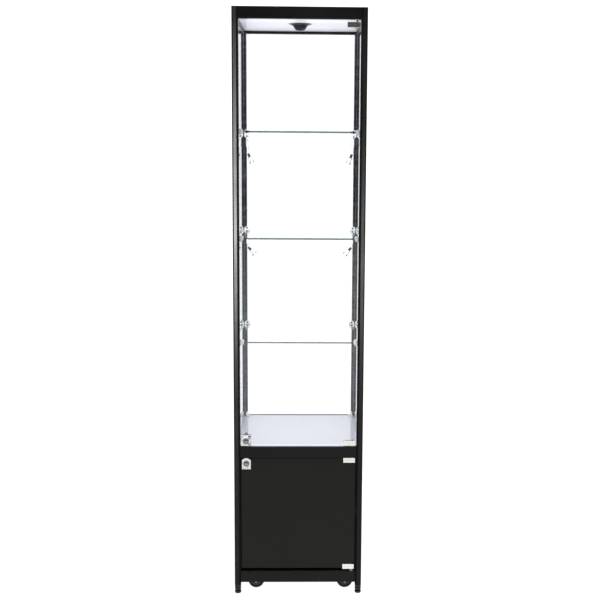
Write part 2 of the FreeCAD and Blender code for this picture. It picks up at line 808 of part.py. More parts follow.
stems = []
for level, (pivot_z, clip_z, lean) in SPOTS.items():
    stem = spot_stem(Size(pivot_z), Size(clip_z))
    stems += [stem, mirror(stem, "X")]
    for side in ("left", "right"):
        node(f"side_light_head_{level}_{side}", spot_head(side, Size(pivot_z), lean))
node("side_light_stems", group(*stems))


# ---- feet ---------------------------------------------------------------------------------

def foot(x, y):
    """Levelling foot: a round pad, a hexagon for the spanner and a stem up into the post."""
    pad = turned("foot", [
        (0, 0), (7, 0), (9.3, 1), (10, 3), (10, 7), (8.8, 9.5), (6.5, 10.5), (6.5, 13),
        (stem_radius, 13), (stem_radius, stem_top - 1), (stem_radius - 1, stem_top), (0, stem_top),
    ])
    hexagon = doc.addObject("Part::Prism", unused("hexagon"))
    hexagon.Polygon = 6
    bind(hexagon, Circumradius=8.4, Height=6)
    place(hexagon, 0, 0, 12.8)
    return place(fuse(pad, hexagon), x, y, 0)


def corners(x, y):
    """The four mirrored places of a part, with their names."""
    return {"front_left": (-x, -y), "front_right": (x, -y),
            "rear_left": (-x, y), "rear_right": (x, y)}


for corner, (x, y) in corners(pane, pane).items():
    node(f"foot_{corner}", foot(x, y))


# ---- castors ------------------------------------------------------------------------------

axle_z = wheel_radius + wheel_lift
board_under = base_top - base_thick
crown_top = board_under - 5.6
crown = given("crown", 2.5, "plate of a castor's fork")
arm = given("arm", 2.5, "side of a castor's fork")
kingpin = given("kingpin", 4, "castor kingpin")
axle = given("axle", 3, "castor axle")


def castor_plate(x, y):
    """Plate with screw heads under the bottom board, a race and the riveted kingpin."""
    reach, thick = 22, Size(2.5)
    plate = span(x - reach, x + reach, y - reach, y + reach, board_under - thick, board_under)
    bottom = crown_top - crown
    pin = rod(kingpin, board_under - bottom + 0.4, x, y, bottom - 0.4)
    rivet = rod(kingpin + 1.5, 1.0, x, y, bottom - 1.2)
    race = rod(13, board_under - crown_top - 0.2, x, y, crown_top + 0.2)
    parts = [plate, pin, rivet, race]
    for dx in (-16.5, 16.5):
        for dy in (-16.5, 16.5):
            parts.append(rod(3.2, 1.6, x + dx, y + dy, board_under - thick - 1.6))
    return fuse(*parts)


def castor_fork(x, y):
    """Fork: crown with the kingpin hole, two arms and the fixed axle."""
    gap = wheel_wide / 2 + 0.5
    low, high = axle_z - 7, crown_top
    outline = [(-9, high), (-9, high - 6), (trail - 7, axle_z), (trail + 7, axle_z),
               (14, high - 6), (14, high)]
    parts = [rod(14, crown, 0, 0, high - crown)]
    parts.append(span(-9, 14, -gap - arm, gap + arm, high - crown, high))
    for y0 in (-gap, gap + arm):
        side = extruded("arm", arm, outline)
        parts.append(place(side, 0, y0, 0, UPRIGHT))
        parts.append(rod(7, arm, trail, y0 - arm, axle_z, "Y"))
    parts.append(rod(axle, 2 * gap + 2 * arm, trail, -gap - arm, axle_z, "Y"))
    for y0 in (-gap - arm - 1.5, gap + arm):
        parts.append(rod(axle + 1.5, 1.5, trail, y0, axle_z, "Y"))
    body = cut(fuse(*parts), rod(kingpin + fit, 10, 0, 0, high - 6))
    return place(body, x, y, 0)


def castor_wheel(x, y):
    """Wheel with a rounded tread, dished sides and a bored hub."""
    side = wheel_wide / 2
    wheel = turned("wheel", [
        (axle + fit, -side), (8, -side), (9, 3 - side), (16.5, 3 - side), (17.5, 0.6 - side),
        (21, 0.6 - side), (wheel_radius - 1, 3.4 - side), (wheel_radius, 6 - side),
        (wheel_radius, side - 6), (wheel_radius - 1, side - 3.4), (21, side - 0.6),
        (17.5, side - 0.6), (16.5, side - 3), (9, side - 3), (8, side), (axle + fit, side),
    ])
    return place(wheel, x + trail, y, axle_z, ALONG["Y"])


plates = []
for corner, (x, y) in corners(castor_x, castor_y).items():
    plates.append(castor_plate(x, y))
    node(f"castor_fork_{corner}", castor_fork(x, y))
    node(f"castor_wheel_{corner}", castor_wheel(x, y))
node("castor_plates", group(*plates))


# ---- check and write ----------------------------------------------------------------------

doc.recompute()
for thing in doc.Objects:
    if "Invalid" in thing.State or "Error" in thing.State:
        raise RuntimeError(f"{thing.Name} ({thing.Label}) did not recompute: {thing.State}")
for name, thing in nodes.items():
    if thing.Shape.isNull() or not thing.Shape.isValid() or not thing.Shape.Solids:
        raise RuntimeError(f"{name} is not a valid solid")

os.makedirs("parts", exist_ok=True)
for name, thing in nodes.items():
    thing.Shape.exportStep(f"parts/{name}.step")
print(len(nodes), "nodes written")
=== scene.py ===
import json
import math

import bmesh
import bpy
import numpy as np
from mathutils import Matrix, Vector

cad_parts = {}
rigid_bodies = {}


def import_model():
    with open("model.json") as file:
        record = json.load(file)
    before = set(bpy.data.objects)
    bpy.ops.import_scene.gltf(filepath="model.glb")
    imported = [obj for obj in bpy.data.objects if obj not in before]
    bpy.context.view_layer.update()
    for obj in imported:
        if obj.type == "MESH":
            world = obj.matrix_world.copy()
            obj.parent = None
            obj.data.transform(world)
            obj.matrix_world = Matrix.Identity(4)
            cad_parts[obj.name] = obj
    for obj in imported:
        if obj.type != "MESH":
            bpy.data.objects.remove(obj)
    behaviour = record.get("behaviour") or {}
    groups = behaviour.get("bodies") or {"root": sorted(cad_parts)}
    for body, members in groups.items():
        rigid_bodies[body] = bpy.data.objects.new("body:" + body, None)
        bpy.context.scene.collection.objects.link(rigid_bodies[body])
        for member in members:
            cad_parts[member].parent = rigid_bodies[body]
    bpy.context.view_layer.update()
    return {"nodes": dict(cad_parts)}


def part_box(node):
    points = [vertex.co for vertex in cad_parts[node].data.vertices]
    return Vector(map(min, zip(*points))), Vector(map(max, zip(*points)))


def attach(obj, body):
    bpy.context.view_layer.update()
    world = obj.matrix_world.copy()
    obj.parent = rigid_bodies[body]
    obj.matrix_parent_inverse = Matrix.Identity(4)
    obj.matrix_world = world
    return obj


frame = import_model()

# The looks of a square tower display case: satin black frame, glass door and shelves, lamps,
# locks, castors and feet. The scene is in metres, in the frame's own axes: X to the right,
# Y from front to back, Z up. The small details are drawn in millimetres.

MM = 0.001
CORNERS = ("front_left", "front_right", "rear_left", "rear_right")
SIDES = ("left", "right")
LEVELS = ("upper", "lower")
DOORS = ("glass_door", "cupboard_door")

# in millimetres, as in the CAD
STEP_X = 185                # how far out the step beside the doors reaches
SPOT_X, SPOT_Y = 171, 165   # the side lights' pivots, left or right and back from the middle
KNUCKLE_REACH = 9           # how far a side light's dark knuckle reaches from its pivot
BRACKET_THICK = 1.5         # the angle brackets' sheet

# a side light's height in millimetres, and its lean in degrees from straight down
SPOT_POSE = {"upper": (1375, 22), "lower": (1064, 42)}

# a lock barrel's middle, right and up from the origin, in millimetres
LOCK_MIDDLE = {"glass_door": (-162.5, 497), "cupboard_door": (-161.6, 425)}


# ---- shaders ------------------------------------------------------------------------------

class Shader:
    """One material's node tree, built from a few kinds of step."""

    def __init__(self, name):
        self.material = bpy.data.materials.new(name)
        self.material.use_nodes = True
        self.tree = self.material.node_tree
        self.tree.nodes.clear()
        self.place = self.node("TexCoord").outputs["Object"]

    def node(self, kind, inputs=None, **settings):
        """A node with its inputs set: a socket is linked, anything else is a plain value."""
        made = self.tree.nodes.new("ShaderNode" + kind)
        for name, value in settings.items():
            setattr(made, name, value)
        for name, value in (inputs or {}).items():
            if isinstance(value, bpy.types.NodeSocket):
                self.tree.links.new(value, made.inputs[name])
            else:
                made.inputs[name].default_value = value
        return made

    def noise(self, scale, detail=3, stretch=(1, 1, 1)):
        """Noise from 0 to 1. scale is in bumps per metre, stretch multiplies it by axis."""
        spread = self.node("Mapping", {"Vector": self.place, "Scale": stretch})
        made = self.node("TexNoise", {"Vector": spread.outputs[0], "Scale": scale, "Detail": detail})
        return made.outputs[0]

    def between(self, factor, low, high, start=0.3, end=0.7):
        """A number that goes from low to high as the factor goes from start to end."""
        limits = {"Value": factor, "From Min": start, "From Max": end, "To Min": low, "To Max": high}
        return self.node("MapRange", limits).outputs[0]

    def blend(self, factor, first, second):
        """A colour between two, each a socket or three numbers."""
        made = self.node("Mix", data_type="RGBA")
        for socket, value in ((made.inputs[0], factor), (made.inputs[6], first), (made.inputs[7], second)):
            if isinstance(value, bpy.types.NodeSocket):
                self.tree.links.new(value, socket)
            else:
                socket.default_value = (*value, 1) if isinstance(value, tuple) else value
        return made.outputs[2]

    def maths(self, operation, *values):
        """The result of one sum, each value a socket or a number."""
        made = self.node("Math", operation=operation)
        for socket, value in zip(made.inputs, values):
            if isinstance(value, bpy.types.NodeSocket):
                self.tree.links.new(value, socket)
            else:
                socket.default_value = value
        return made.outputs[0]

    def bump(self, height, strength, depth):
        """A bumped normal. depth is the height of the relief in metres."""
        return self.node("Bump", {"Height": height, "Strength": strength, "Distance": depth}).outputs[0]

    def upward(self):
        """1 on faces that look straight up, 0 on the rest."""
        normal = self.node("NewGeometry").outputs["Normal"]
        height = self.node("SeparateXYZ", {0: normal}).outputs[2]
        return self.between(height, 0, 1, 0.7, 1)

    def edges(self, radius):
        """1 along sharp edges, 0 on open faces, broken up by noise."""
        soft = self.node("Bevel", {"Radius": radius}, samples=4).outputs[0]
        true = self.node("NewGeometry").outputs["Normal"]
        alike = self.node("VectorMath", {0: soft, 1: true}, operation="DOT_PRODUCT").outputs["Value"]
        wear = self.between(alike, 1, 0, 0.72, 0.97)
        return self.maths("MULTIPLY", wear, self.between(self.noise(260, 4), 0, 1, 0.4, 0.65))

    def surface(self, **sockets):
        """Ends the tree with a Principled shader. Underscores in the names stand for spaces."""
        inputs = {name.replace("_", " "): value for name, value in sockets.items()}
        for name, value in inputs.items():
            if isinstance(value, tuple) and len(value) == 3 and "Color" in name:
                inputs[name] = (*value, 1)
        return self.end(self.node("BsdfPrincipled", inputs).outputs[0])

    def end(self, shader):
        """Ends the tree with a shader and hands over the material."""
        self.node("OutputMaterial", {"Surface": shader})
        return self.material

    def sheen_of_glass(self, through, mirror):
        """Mixes what shows through with a mirror, by the angle the surface is seen at."""
        facing = self.node("LayerWeight", {"Blend": 0.5}).outputs["Facing"]
        grazing = self.maths("POWER", facing, 5.0)
        share = self.maths("MULTIPLY_ADD", grazing, 0.96, 0.04)
        return self.node("MixShader", {0: share, 1: through, 2: mirror}).outputs[0]


def powder_coat(name, colour, rough, level):
    """Satin powder coat: fine orange peel, faint mottle, dust on top, rubbed edges."""
    s = Shader(name)
    mottle = s.noise(7, 4)
    peel = s.noise(1500, 2)
    lighter = tuple(c * 1.3 + 0.001 for c in colour)
    coat = s.blend(s.between(mottle, 0, 1), colour, lighter)
    dust = s.maths("MULTIPLY", s.upward(), s.between(s.noise(60, 5), 0.02, 0.22))
    coat = s.blend(dust, coat, (0.13, 0.125, 0.12))
    coat = s.blend(s.maths("MULTIPLY", s.edges(0.9 * MM), 0.35), coat, (0.10, 0.10, 0.10))
    return s.surface(Base_Color=coat, Roughness=s.between(mottle, rough, rough + 0.08),
                     Specular_IOR_Level=level, Normal=s.bump(peel, 0.12, 0.05 * MM))


def laminate(name, colour, other, rough, level, pore):
    """Laminated board: a slow drift of tone and a fine pressed pore."""
    s = Shader(name)
    drift = s.between(s.noise(4, 3), 0, 1)
    pores = s.noise(900, 3, (1, 1, 0.22))
    tone = s.blend(drift, colour, other)
    tone = s.blend(s.maths("MULTIPLY", s.edges(0.6 * MM), 0.3), tone, tuple(c * 0.6 + 0.08 for c in colour))
    return s.surface(Base_Color=tone, Roughness=s.between(pores, rough - 0.05, rough + 0.07),
                     Specular_IOR_Level=level, Normal=s.bump(pores, pore, 0.06 * MM))


def plain_plastic(name, colour, rough, grain=0.15):
    """Moulded plastic or rubber with a fine spark-eroded grain."""
    s = Shader(name)
    sparks = s.noise(1800, 2)
    lighter = tuple(c * 1.35 + 0.002 for c in colour)
    return s.surface(Base_Color=s.blend(s.between(s.noise(45, 4), 0, 1), colour, lighter),
                     Roughness=s.between(sparks, rough - 0.06, rough + 0.06),
                     Normal=s.bump(sparks, grain, 0.05 * MM))


def metal(name, colour, rough, brushed=(1, 1, 1), lines=0.05, spread=0.08, solid=1.0, clouds=(30, 0.82)):
    """Metal with brush lines or polishing marks. brushed stretches the marks by axis.

    clouds gives how many darker spots there are to a metre, and how dark they go: mild tarnish on most
    metals, on the lock steel a painted reflection of its dark surroundings.
    """
    s = Shader(name)
    marks = s.noise(1100, 3, brushed)
    darker = tuple(c * clouds[1] for c in colour)
    tone = s.blend(s.between(s.noise(clouds[0], 4), 0, 1), colour, darker)
    return s.surface(Base_Color=tone, Metallic=solid,
                     Roughness=s.between(marks, rough, rough + spread),
                     Normal=s.bump(marks, lines, 0.02 * MM))


def zinc_plate(name):
    """Zinc plate: a bluish grey with a soft crystalline spangle."""
    s = Shader(name)
    crystal = s.node("TexVoronoi", {"Vector": s.place, "Scale": 260.0}).outputs["Distance"]
    tone = s.blend(s.between(crystal, 0, 1, 0.0, 0.8), (0.36, 0.38, 0.42), (0.56, 0.57, 0.58))
    return s.surface(Base_Color=tone, Metallic=1.0, Roughness=s.between(crystal, 0.28, 0.42),
                     Normal=s.bump(crystal, 0.08, 0.05 * MM))


def pane_glass(name, tint):
    """Clear sheet glass: see-through, mirroring more at a glancing angle, faintly smeared."""
    s = Shader(name)
    smear = s.between(s.noise(16, 5, (1, 1, 0.5)), 0.0, 0.05, 0.45, 0.8)
    through = s.node("BsdfTransparent", {"Color": (*tint, 1)})
    mirror = s.node("BsdfAnisotropic", {"Color": (1, 1, 1, 1), "Roughness": smear})
    return s.end(s.sheen_of_glass(through.outputs[0], mirror.outputs[0]))


def edge_glass(name, deep, pale):
    """A polished glass edge: green and half solid from outside, clear seen from within."""
    s = Shader(name)
    streaks = s.between(s.noise(90, 3, (1, 1, 12)), 0, 1)
    colour = s.blend(streaks, deep, pale)
    solid = s.node("BsdfPrincipled", {"Base Color": colour, "Roughness": 0.12})
    through = s.node("BsdfTransparent", {"Color": s.blend(streaks, (0.44, 0.57, 0.54), (0.60, 0.72, 0.69))})
    body = s.node("MixShader", {0: 0.75, 1: through.outputs[0], 2: solid.outputs[0]})
    clear = s.node("BsdfTransparent", {"Color": (0.90, 0.96, 0.94, 1)})
    inside = s.node("NewGeometry").outputs["Backfacing"]
    return s.end(s.node("MixShader", {0: inside, 1: body.outputs[0], 2: clear.outputs[0]}).outputs[0])


def frosted(name, colour):
    """A frosted or moulded clear plastic lens."""
    s = Shader(name)
    ripples = s.noise(1300, 2)
    return s.surface(Base_Color=s.blend(ripples, colour, tuple(c * 0.9 for c in colour)),
                     Roughness=s.between(ripples, 0.18, 0.34), Coat_Weight=0.5,
                     Normal=s.bump(ripples, 0.2, 0.05 * MM))


def painted_glow_edge_glass(name):
    """The door's seamed edge, painted near white with a faint glow: a painted highlight for the light the
    pane gathers into it.
    """
    s = Shader(name)
    streaks = s.between(s.noise(60, 3, (1, 1, 8)), 0, 1)
    colour = s.blend(streaks, (0.80, 0.88, 0.90), (0.95, 0.97, 1.0))
    return s.surface(Base_Color=colour, Roughness=0.2, Emission_Color=colour, Emission_Strength=0.35)


def seal(name):
    """Translucent grey glazing seal."""
    s = Shader(name)
    streaks = s.between(s.noise(40, 4, (1, 1, 0.2)), 0, 1)
    return s.surface(Base_Color=s.blend(streaks, (0.30, 0.30, 0.34), (0.42, 0.42, 0.46)),
                     Roughness=0.45, Normal=s.bump(s.noise(900, 2), 0.15, 0.05 * MM))


def painted_reflection_coat(name):
    """The frame's coat where it faces the lit inside, painted grey and cloudy: a painted reflection of the
    bright inside on the black coat.
    """
    s = Shader(name)
    clouds = s.noise(105, 5, (1, 1, 0.6))
    drift = s.between(s.noise(5, 2), 0, 0.16, 0.35, 0.65)
    pale = s.maths("ADD", s.between(clouds, 0, 1, 0.46, 0.66), drift)
    tone = s.blend(pale, (0.010, 0.010, 0.012), (0.120, 0.120, 0.140))
    return s.surface(Base_Color=tone, Roughness=0.32, Specular_IOR_Level=0.4,
                     Normal=s.bump(s.noise(1500, 2), 0.12, 0.05 * MM))


black = powder_coat("powder_black", (0.0092, 0.0090, 0.0086), 0.25, 0.15)
# a lighter, mottled copy of the black coat: painted reflection on the rear posts' inner faces
black_painted_reflection = painted_reflection_coat("powder_black_painted_reflection")
# a matt, darker copy of the black coat: painted shade on the front posts' steps
step_painted_shade = powder_coat("step_painted_shade_coat", (0.0080, 0.0080, 0.0078), 0.62, 0.03)
door_board = laminate("door_laminate", (0.0150, 0.0150, 0.0112), (0.0185, 0.0182, 0.0140), 0.50, 0.20, 0.10)
white_board = laminate("white_laminate", (0.80, 0.80, 0.885), (0.845, 0.845, 0.91), 0.30, 0.5, 0.05)
deck_board = laminate("deck_laminate", (0.775, 0.77, 0.89), (0.82, 0.815, 0.915), 0.12, 1.0, 0.02)
# a grey copy of the white laminate for the lid: painted shade that holds down the strong light on its top
lid_board_painted_shade = laminate("lid_laminate_painted_shade", (0.40, 0.40, 0.42), (0.44, 0.44, 0.46), 0.40, 0.4, 0.08)
black_plastic = plain_plastic("black_plastic", (0.0075, 0.0075, 0.008), 0.42)
rubber = plain_plastic("rubber", (0.008, 0.008, 0.008), 0.72, 0.35)
nylon = plain_plastic("nylon", (0.74, 0.74, 0.71), 0.42)
corner_plastic = plain_plastic("corner_plastic", (0.93, 0.93, 0.92), 0.35)
hub_plastic = plain_plastic("hub_plastic", (0.035, 0.035, 0.037), 0.34)
glass = pane_glass("sheet_glass", (0.992, 0.997, 0.996))
glass_edge = edge_glass("glass_edge", (0.030, 0.060, 0.052), (0.085, 0.130, 0.115))
# the door's top and bottom glass edges: painted highlight, near white and glowing
door_edge_painted_glow = painted_glow_edge_glass("door_glass_edge_painted_glow")
glazing_seal = seal("glazing_seal")
satin_nickel = metal("satin_nickel", (0.97, 0.955, 0.89), 0.17, (0.03, 1, 1), 0.06)
chrome = metal("chrome", (0.90, 0.90, 0.92), 0.09, lines=0.03, spread=0.08, solid=0.75)
turned_steel = metal("turned_steel", (0.55, 0.55, 0.56), 0.20, lines=0.10)
# deep dark clouds on the lock steel: painted reflection of the dark surroundings mirrored in the chrome
lock_steel = metal("cast_lock_steel_painted_reflection", (0.90, 0.90, 0.90), 0.14, lines=0.35, spread=0.20, clouds=(170, 0.42))
satin_silver = metal("satin_silver", (0.93, 0.93, 0.95), 0.20, lines=0.06, solid=0.35)
dark_steel = metal("blackened_steel", (0.040, 0.040, 0.045), 0.30, lines=0.12)
zinc = zinc_plate("zinc")
charcoal = powder_coat("charcoal", (0.042, 0.046, 0.060), 0.30, 0.4)
dark_charcoal = powder_coat("dark_charcoal", (0.009, 0.010, 0.015), 0.32, 0.25)
lens = frosted("lens", (0.62, 0.62, 0.58))
lamp_lens = frosted("lamp_lens", (0.86, 0.84, 0.74))


# ---- finishes of the carried-over pieces ---------------------------------------------------

WELD_GAP = 0.01 * MM    # the tessellation's own seams are closer than this


def soften(piece, width, angle=40):
    """Small real rounds on a piece's sharp edges."""
    mesh = piece.data
    if "custom_normal" in mesh.attributes:
        mesh.attributes.remove(mesh.attributes["custom_normal"])
    if "sharp_edge" in mesh.attributes:
        mesh.attributes.remove(mesh.attributes["sharp_edge"])
    mesh.shade_smooth()
    weld = piece.modifiers.new("weld", "WELD")
    weld.merge_threshold = WELD_GAP
    bevel = piece.modifiers.new("rounds", "BEVEL")
    bevel.width = width
    bevel.segments = 2
    bevel.limit_method = "ANGLE"
    bevel.angle_limit = math.radians(angle)
    bevel.use_clamp_overlap = False
    piece.modifiers.new("normals", "WEIGHTED_NORMAL").keep_sharp = True


def face_facts(mesh):
    """The middle and the normal of each face, as two arrays."""
    middles = np.empty(len(mesh.polygons) * 3)
    normals = np.empty(len(mesh.polygons) * 3)
    mesh.polygons.foreach_get("center", middles)
    mesh.polygons.foreach_get("normal", normals)
    return middles.reshape(-1, 3), normals.reshape(-1, 3)


def dress(name, *finishes, rule=None, rounds=0.0):
    """Gives a CAD node its finishes. rule(middles, normals) says which one each face takes."""
    piece = frame["nodes"][name]
    mesh = piece.data
    mesh.materials.clear()
    for finish in finishes:
        mesh.materials.append(finish)
    if rule is None:
        choice = np.zeros(len(mesh.polygons), dtype=np.int32)
    else:
        choice = rule(*face_facts(mesh)).astype(np.int32)
    mesh.polygons.foreach_set("material_index", choice)
    if rounds:
        soften(piece, rounds)


def not_flat_to(axis):
    """Picks the narrow edge faces of a sheet whose broad faces look along an axis."""
    return lambda middles, normals: np.abs(normals[:, axis]) < 0.9


def beyond(point, axis, radius):
    """Picks the faces that lie further than radius from a line along an axis."""
    def rule(middles, normals):
        offset = middles - np.array(point)
        offset[:, axis] = 0
        return np.linalg.norm(offset, axis=1) > radius
    return rule


def facing_inside(side):
    """Picks a rear post's faces that look forwards or to the middle of the case, which take the painted
    reflection.
    """
    sign = 1 if side == "left" else -1
    return lambda middles, normals: (normals[:, 1] < -0.7) | (normals[:, 0] * sign > 0.7)


def in_the_step(middles, normals):
    """Picks the face of a front post's step, which takes a matt, darker coat as painted shade."""
    return (np.abs(middles[:, 0]) < STEP_X * MM) & (normals[:, 1] < -0.5)


def past(axis, limit):
    """Picks the faces whose middle lies past a limit along an axis."""
    return lambda middles, normals: middles[:, axis] > limit


def dress_frame():
    """Black posts and rails. The rear posts' inner faces carry a mottled grey painted reflection, the front
    posts' steps a matt, darker coat as painted shade.
    """
    for corner in CORNERS:
        end, side = corner.split("_")
        if end == "rear":
            dress(f"post_{corner}", black, black_painted_reflection, rule=facing_inside(side), rounds=0.5 * MM)
        else:
            dress(f"post_{corner}", black, step_painted_shade, rule=in_the_step, rounds=0.5 * MM)
    for rail in ("top_rail_front", "deck_rail_front", "base_rail_front", "rear_rails", "side_rails"):
        dress(rail, black, rounds=0.5 * MM)
    for name in ("post_caps", "foot_blocks"):
        dress(name, black_plastic)
    dress("cable_grommet", rubber)
    dress("pivot_bushes", nylon)


def dress_running_gear():
    """Feet with a dark stem above their collar, castor forks, and wheels with a rubber tyre."""
    collar, hub_reach = 11 * MM, 17 * MM
    for corner in CORNERS:
        dress(f"castor_fork_{corner}", dark_steel, rounds=0.25 * MM)
        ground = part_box(f"foot_{corner}")[0].z
        dress(f"foot_{corner}", black_plastic, dark_steel, rule=past(2, ground + collar))
        low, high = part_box(f"castor_wheel_{corner}")
        dress(f"castor_wheel_{corner}", hub_plastic, rubber, rule=beyond((low + high) / 2, 1, hub_reach))


def dress_boards():
    """White boards round the showcase, with the lid in a darker grey copy as painted shade, dark ones round
    the cupboard.
    """
    dress("lid_panel", lid_board_painted_shade, rounds=0.5 * MM)
    dress("ceiling_panel", white_board)
    dress("deck_panel", deck_board, rounds=0.5 * MM)
    for board in ("base_panel", "cupboard_sides"):
        dress(board, door_board, rounds=0.4 * MM)
    dress("cupboard_back", door_board)
    dress("cupboard_door_panel", door_board, rounds=0.6 * MM)


def dress_glass():
    """Clear panes with green edges. The door's top and bottom edges are painted white with a glow, a painted
    highlight of the light they gather.
    """
    # the axis that each pane's broad faces look along
    panes = {"side_glass_left": 0, "side_glass_right": 0, "rear_glass": 1,
             "shelf_1": 2, "shelf_2": 2, "shelf_3": 2}
    for pane, axis in panes.items():
        dress(pane, glass, glass_edge, rule=not_flat_to(axis))
    sides = not_flat_to(1)
    dress("glass_door_pane", glass, glass_edge, door_edge_painted_glow,
          rule=lambda middles, normals: np.where(np.abs(normals[:, 2]) > 0.7, 2, sides(middles, normals)))
    # the seals are grey round the panes and black round the cupboard's boards
    seal_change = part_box("deck_rail_front")[0].z + 7 * MM
    dress("glazing_gaskets", glazing_seal, rubber, rule=lambda middles, normals: middles[:, 2] < seal_change)


def dress_fittings():
    """Zinc brackets and plates, nickel clamps, locks mottled with painted reflections and with dark barrels,
    silver clips.
    """
    for name in ("board_brackets", "castor_plates"):
        dress(name, zinc)
    for name in ("shelf_clips_1", "shelf_clips_2", "shelf_clips_3"):
        dress(name, satin_silver)
    for door in DOORS:
        dress(f"{door}_hinges", satin_nickel)
        dress(f"{door}_lock", lock_steel, rounds=0.2 * MM)
        barrel = f"{door}_lock_barrel"
        face_depth = 8 * MM
        dress(barrel, dark_steel, lock_steel, rule=past(1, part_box(barrel)[0].y + face_depth))


def dress_lights():
    """A charcoal ceiling light, and silver side lights with dark knuckles."""
    dress("side_light_stems", satin_silver)
    for level in LEVELS:
        for side in SIDES:
            across = SPOT_X if side == "right" else -SPOT_X
            knuckle = Vector((across, SPOT_Y, SPOT_POSE[level][0])) * MM
            dress(f"side_light_head_{level}_{side}", dark_steel, satin_silver,
                  rule=beyond(knuckle, 1, KNUCKLE_REACH * MM))
    for name in ("light_ring", "light_gimbal"):
        dress(name, charcoal)
    dress("light_eyeball", dark_charcoal)
    dress("light_lens", lens)


dress_frame()
dress_running_gear()
dress_boards()
dress_glass()
dress_fittings()
dress_lights()


# ---- mesh building -------------------------------------------------------------------------

def hexagon(reach):
    """A hexagonal outline: its radius at an angle, from the distance to its flats."""
    return lambda angle: reach / math.cos(angle % (math.pi / 3) - math.pi / 6)


def cross(long, half):
    """A cross-shaped outline with arms of a length and a half width."""
    def radius(angle):
        turn = abs((angle + math.pi / 4) % (math.pi / 2) - math.pi / 4)
        return min(long / math.cos(turn), half / max(math.sin(turn), 1e-6))
    return radius


def knurled(radius, depth, ridges):
    """A knurled outline: a radius with pointed ridges of a depth on it."""
    ridge = 2 * math.pi / ridges
    return lambda angle: radius + depth * abs(2 * ((angle / ridge) % 1) - 1)


def key_slot(long, half):
    """The outline of a key slot that stands upright, as a radius at an angle."""
    return lambda angle: min(long / max(abs(math.sin(angle)), 1e-6), half / max(abs(math.cos(angle)), 1e-6))


class Mould:
    """Gathers closed bodies into the mesh of one piece. Its lengths are in millimetres."""

    def __init__(self):
        self.points, self.faces, self.finishes = [], [], []

    def skin(self, rings, finish=0, tube=False):
        """A body through rings of points: capped at its ends, or joined end to end."""
        start, count = len(self.points), len(rings[0])
        for ring in rings:
            self.points += [Vector(point) * MM for point in ring]
        for step in range(len(rings) if tube else len(rings) - 1):
            low = start + step * count
            high = start + (step + 1) % len(rings) * count
            for i in range(count):
                j = (i + 1) % count
                self.faces.append((low + i, low + j, high + j, high + i))
        if not tube:
            last = start + (len(rings) - 1) * count
            self.faces.append(tuple(range(start + count - 1, start - 1, -1)))
            self.faces.append(tuple(range(last, last + count)))
        self.finishes += [finish] * (len(self.faces) - len(self.finishes))

    def turned(self, place, axis, profile, finish=0, count=32, tube=False):
        """A turned body. Its profile gives heights along the axis, each with a radius or outline."""
        turn = Vector(axis).to_track_quat("Z", "Y")
        foot = Vector(place)
        rings = []
        for height, radius in profile:
            ring = []
            for step in range(count):
                angle = 2 * math.pi * step / count
                reach = radius(angle) if callable(radius) else radius
                spoke = Vector((reach * math.cos(angle), reach * math.sin(angle), height))
                ring.append(foot + turn @ spoke)
            rings.append(ring)
        self.skin(rings, finish, tube)

    def screw(self, place, axis, radius, high, recess, finish=0):
        """A domed screw head with a recess in it."""
        self.turned(place, axis, [
            (-0.3, radius), (0.5 * high, radius), (0.85 * high, 0.86 * radius), (high, 0.66 * radius),
            (high, recess), (0.25 * high, recess),
        ], finish, count=24)

    def slab(self, low, high, corner, edge=0.4, axis=2, finish=0):
        """A plate with round corners in its own plane and small rounds on its rims."""
        order = ((1, 2, 0), (0, 2, 1), (0, 1, 2))[axis]
        low, high = [low[i] for i in order], [high[i] for i in order]
        rings = []
        for level, tuck in ((low[2], edge), (low[2] + edge, 0), (high[2] - edge, 0), (high[2], edge)):
            ring = []
            for quarter in range(4):
                east, north = quarter in (0, 3), quarter in (0, 1)
                x = (high[0] - corner) if east else (low[0] + corner)
                y = (high[1] - corner) if north else (low[1] + corner)
                for step in range(5):
                    angle = math.pi / 2 * (quarter + step / 4)
                    reach = corner - tuck
                    spot = [0, 0, 0]
                    spot[order[0]] = x + reach * math.cos(angle)
                    spot[order[1]] = y + reach * math.sin(angle)
                    spot[order[2]] = level
                    ring.append(spot)
            rings.append(ring)
        self.skin(rings, finish)

    def piece(self, name, body, slot, *finishes):
        """Makes the piece, smooth but for its sharp edges, and lets it ride on a body."""
        mesh = bpy.data.meshes.new(name)
        mesh.from_pydata(self.points, [], self.faces)
        mesh.polygons.foreach_set("material_index", self.finishes)
        solid = bmesh.new()
        solid.from_mesh(mesh)
        bmesh.ops.recalc_face_normals(solid, faces=solid.faces)
        solid.to_mesh(mesh)
        solid.free()
        for finish in finishes:
            mesh.materials.append(finish)
        mesh.shade_smooth()
        mesh.set_sharp_from_angle(angle=math.radians(34))
        made = bpy.data.objects.new(name, mesh)
        bpy.context.scene.collection.objects.link(made)
        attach(made, body)


def low_high(name):
    """A CAD node's lowest and highest corners, in millimetres."""
    return [[c / MM for c in corner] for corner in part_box(name)]


# ---- details too small for the CAD ---------------------------------------------------------

FRONT, BACK, DOWN, UP = (0, -1, 0), (0, 1, 0), (0, 0, -1), (0, 0, 1)

deck_low, deck_high = low_high("deck_panel")
deck_top = deck_high[2]
rail_reach = -low_high("deck_rail_front")[1][1]     # from the middle to the rails' inner faces
post_reach = low_high("post_rear_right")[0][0]      # from the middle to the posts' inner faces


